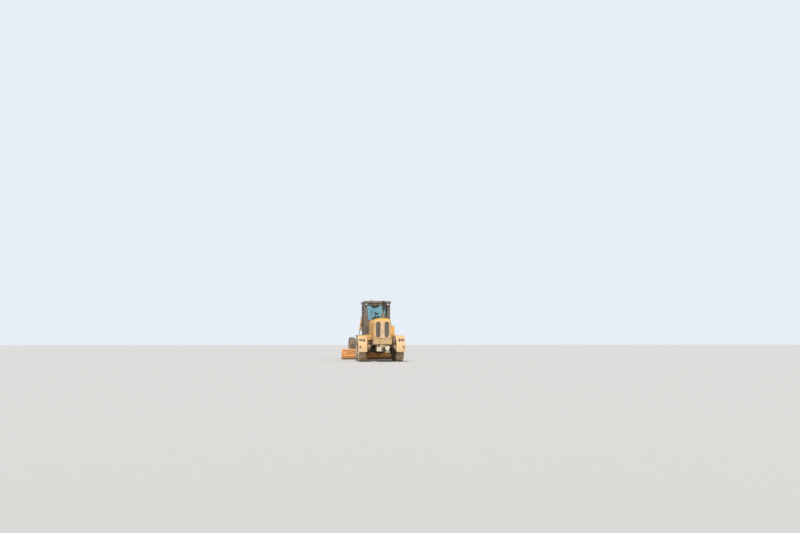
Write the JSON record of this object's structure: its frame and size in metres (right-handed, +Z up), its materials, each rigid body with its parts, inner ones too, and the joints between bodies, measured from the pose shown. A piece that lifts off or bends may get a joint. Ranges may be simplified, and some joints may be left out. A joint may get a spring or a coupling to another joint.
{
  "type": "motor grader",
  "caption": "Articulated motor grader with a tandem drive, glazed cab, arched front beam and a turning, side-shifting blade for levelling earth.",
  "frame": {"origin": "on the ground below the middle of the machine's outline", "axes": "+Y forward, +X to the operator's right, +Z up; the ground is Z 0"},
  "size_m": [3.66, 8.8, 3.4497],
  "materials": {
    "paint_dusty": "yellow paint under pale dust",
    "paint_orange": "orange-yellow paint, satin",
    "paint_charcoal": "dark grey paint, satin",
    "paint_black": "matte black, heat-dulled",
    "glass": "green-blue tint",
    "tyre": "rubber, dusty",
    "steel": "worn bare steel",
    "fabric": "dark woven cloth",
    "lens": "coloured lamp lenses",
    "plastic": "dark moulded plastic"
  },
  "bodies": {
    "rear": {"rear_frame": "paint_dusty", "rear_axle": "paint_dusty", "tandem_cases": "paint_dusty", "hood": "paint_dusty", "engine": "paint_charcoal", "radiator": "paint_charcoal", "exhaust": "paint_black", "mudguards": "paint_dusty", "side_boxes": "paint_orange", "platforms": "paint_charcoal", "oil_tank": "paint_orange", "lamps": "lens", "cab_shell": "paint_charcoal", "cab_roof": "paint_charcoal", "cab_glass": "glass", "seat": "fabric", "console": "plastic"},
    "wheel_rear_left": {"tyre_rear_left": "tyre", "rim_rear_left": "paint_dusty"},
    "wheel_rear_right": {"tyre_rear_right": "tyre", "rim_rear_right": "paint_dusty"},
    "wheel_mid_left": {"tyre_mid_left": "tyre", "rim_mid_left": "paint_dusty"},
    "wheel_mid_right": {"tyre_mid_right": "tyre", "rim_mid_right": "paint_dusty"},
    "cab_door_left": {"door_left": "paint_charcoal", "door_glass_left": "glass"},
    "cab_door_right": {"door_right": "paint_charcoal", "door_glass_right": "glass"},
    "side_door_left": {"hood_door_left": "paint_dusty"},
    "side_door_right": {"hood_door_right": "paint_dusty"},
    "rear_door": {"grille_door": "paint_dusty"},
    "front": {"front_frame": "paint_orange", "saddle": "paint_orange", "push_plate": "paint_orange", "headlamps": "paint_charcoal", "front_axle": "paint_orange"},
    "lean_link": {"lean_bar": "steel"},
    "lean_left": {"lean_bracket_left": "paint_orange"},
    "lean_right": {"lean_bracket_right": "paint_orange"},
    "steer_left": {"knuckle_left": "paint_orange"},
    "steer_right": {"knuckle_right": "paint_orange"},
    "wheel_front_left": {"tyre_front_left": "tyre", "rim_front_left": "paint_orange"},
    "wheel_front_right": {"tyre_front_right": "tyre", "rim_front_right": "paint_orange"},
    "barrel_left": {"lift_barrel_left": "paint_orange"},
    "barrel_right": {"lift_barrel_right": "paint_orange"},
    "rod_left": {"lift_rod_left": "steel"},
    "rod_right": {"lift_rod_right": "steel"},
    "swivel": {"drawbar_swivel": "steel"},
    "bar": {"drawbar": "paint_orange"},
    "turntable": {"blade_circle": "paint_orange"},
    "tipper": {"blade_carrier": "paint_orange"},
    "blade": {"mouldboard": "paint_orange", "cutting_edge": "steel"}
  },
  "joints": [
    {"name": "wheel_rear_left_spin", "type": "hinge", "parent": "rear", "child": "wheel_rear_left", "pos_m": [-1.03, -3.21, 0.67], "axis": [1, 0, 0], "continuous": true},
    {"name": "wheel_mid_left_spin", "type": "hinge", "parent": "rear", "child": "wheel_mid_left", "pos_m": [-1.03, -1.69, 0.67], "axis": [1, 0, 0], "continuous": true},
    {"name": "wheel_rear_right_spin", "type": "hinge", "parent": "rear", "child": "wheel_rear_right", "pos_m": [1.03, -3.21, 0.67], "axis": [1, 0, 0], "continuous": true},
    {"name": "wheel_mid_right_spin", "type": "hinge", "parent": "rear", "child": "wheel_mid_right", "pos_m": [1.03, -1.69, 0.67], "axis": [1, 0, 0], "continuous": true},
    {"name": "cab_door_left_swing", "type": "hinge", "parent": "rear", "child": "cab_door_left", "pos_m": [-0.758, -1.31, 2.3], "axis": [0, 0, 1], "range_deg": [0, 90]},
    {"name": "cab_door_right_swing", "type": "hinge", "parent": "rear", "child": "cab_door_right", "pos_m": [0.758, -1.31, 2.3], "axis": [0, 0, -1], "range_deg": [0, 90]},
    {"name": "side_door_left_lift", "type": "hinge", "parent": "rear", "child": "side_door_left", "pos_m": [-0.488, -2.865, 2.03], "axis": [0, 1, 0], "range_deg": [0, 85]},
    {"name": "side_door_right_lift", "type": "hinge", "parent": "rear", "child": "side_door_right", "pos_m": [0.488, -2.865, 2.03], "axis": [0, -1, 0], "range_deg": [0, 85]},
    {"name": "rear_door_swing", "type": "hinge", "parent": "rear", "child": "rear_door", "pos_m": [-0.44, -4.2, 1.725], "axis": [0, 0, -1], "range_deg": [0, 110]},
    {"name": "articulation", "type": "hinge", "parent": "rear", "child": "front", "pos_m": [0, 0, 1], "axis": [0, 0, 1], "range_deg": [-20, 20]},
    {"name": "lean_left_tilt", "type": "hinge", "parent": "front", "child": "lean_left", "pos_m": [-0.77, 3.65, 0.67], "axis": [0, 1, 0], "range_deg": [-18, 18]},
    {"name": "steer_left_turn", "type": "hinge", "parent": "lean_left", "child": "steer_left", "pos_m": [-0.89, 3.65, 0.67], "axis": [0, 0, 1], "range_deg": [-47.5, 47.5]},
    {"name": "wheel_front_left_spin", "type": "hinge", "parent": "steer_left", "child": "wheel_front_left", "pos_m": [-1.03, 3.65, 0.67], "axis": [1, 0, 0], "continuous": true},
    {"name": "lean_right_tilt", "type": "hinge", "parent": "front", "child": "lean_right", "pos_m": [0.77, 3.65, 0.67], "axis": [0, 1, 0], "range_deg": [-18, 18]},
    {"name": "steer_right_turn", "type": "hinge", "parent": "lean_right", "child": "steer_right", "pos_m": [0.89, 3.65, 0.67], "axis": [0, 0, 1], "range_deg": [-47.5, 47.5]},
    {"name": "wheel_front_right_spin", "type": "hinge", "parent": "steer_right", "child": "wheel_front_right", "pos_m": [1.03, 3.65, 0.67], "axis": [1, 0, 0], "continuous": true},
    {"name": "lean_bar_turn", "type": "hinge", "parent": "lean_left", "child": "lean_link", "pos_m": [-0.77, 3.65, 0.86], "axis": [0, 1, 0], "range_deg": [-18, 18]},
    {"name": "drawbar_swing", "type": "hinge", "parent": "front", "child": "swivel", "pos_m": [0, 3.2, 0.94], "axis": [0, 0, -1], "range_deg": [-12, 12]},
    {"name": "drawbar_lift", "type": "hinge", "parent": "swivel", "child": "bar", "pos_m": [0, 3.2, 0.94], "axis": [-1, 0, 0], "range_deg": [0, 12]},
    {"name": "circle_turn", "type": "hinge", "parent": "bar", "child": "turntable", "pos_m": [0, 1.25, 0.84], "axis": [0, 0, 1], "continuous": true},
    {"name": "blade_tip", "type": "hinge", "parent": "turntable", "child": "tipper", "pos_m": [0, 1.02, 0.4], "axis": [-1, 0, 0], "range_deg": [-5, 40]},
    {"name": "blade_shift", "type": "slide", "parent": "tipper", "child": "blade", "axis": [1, 0, 0], "range_m": [-0.51, 0.66]},
    {"name": "barrel_left_tilt", "type": "hinge", "parent": "front", "child": "barrel_left", "pos_m": [-0.68, 1.1, 2.15], "axis": [0, 1, 0], "range_deg": [-21.3, 21.3]},
    {"name": "barrel_right_tilt", "type": "hinge", "parent": "front", "child": "barrel_right", "pos_m": [0.68, 1.1, 2.15], "axis": [0, 1, 0], "range_deg": [-21.3, 21.3]},
    {"name": "rod_left_draw", "type": "slide", "parent": "barrel_left", "child": "rod_left", "axis": [0.1911, 0, 0.9816], "range_m": [0, 0.46]},
    {"name": "rod_right_draw", "type": "slide", "parent": "barrel_right", "child": "rod_right", "axis": [-0.1911, 0, 0.9816], "range_m": [0, 0.46]}
  ],
  "couplings": [
    {"joint": "lean_right_tilt", "follows": "lean_left_tilt", "ratio": 1},
    {"joint": "lean_bar_turn", "follows": "lean_left_tilt", "ratio": -1},
    {"joint": "steer_right_turn", "follows": "steer_left_turn", "ratio": 1},
    {"joint": "barrel_left_tilt", "follows": "drawbar_swing", "ratio": 1.77},
    {"joint": "barrel_right_tilt", "follows": "drawbar_swing", "ratio": 1.77},
    {"joint": "rod_left_draw", "follows": "drawbar_lift", "m_per_rad": 2.18},
    {"joint": "rod_right_draw", "follows": "drawbar_lift", "m_per_rad": 2.18}
  ]
}
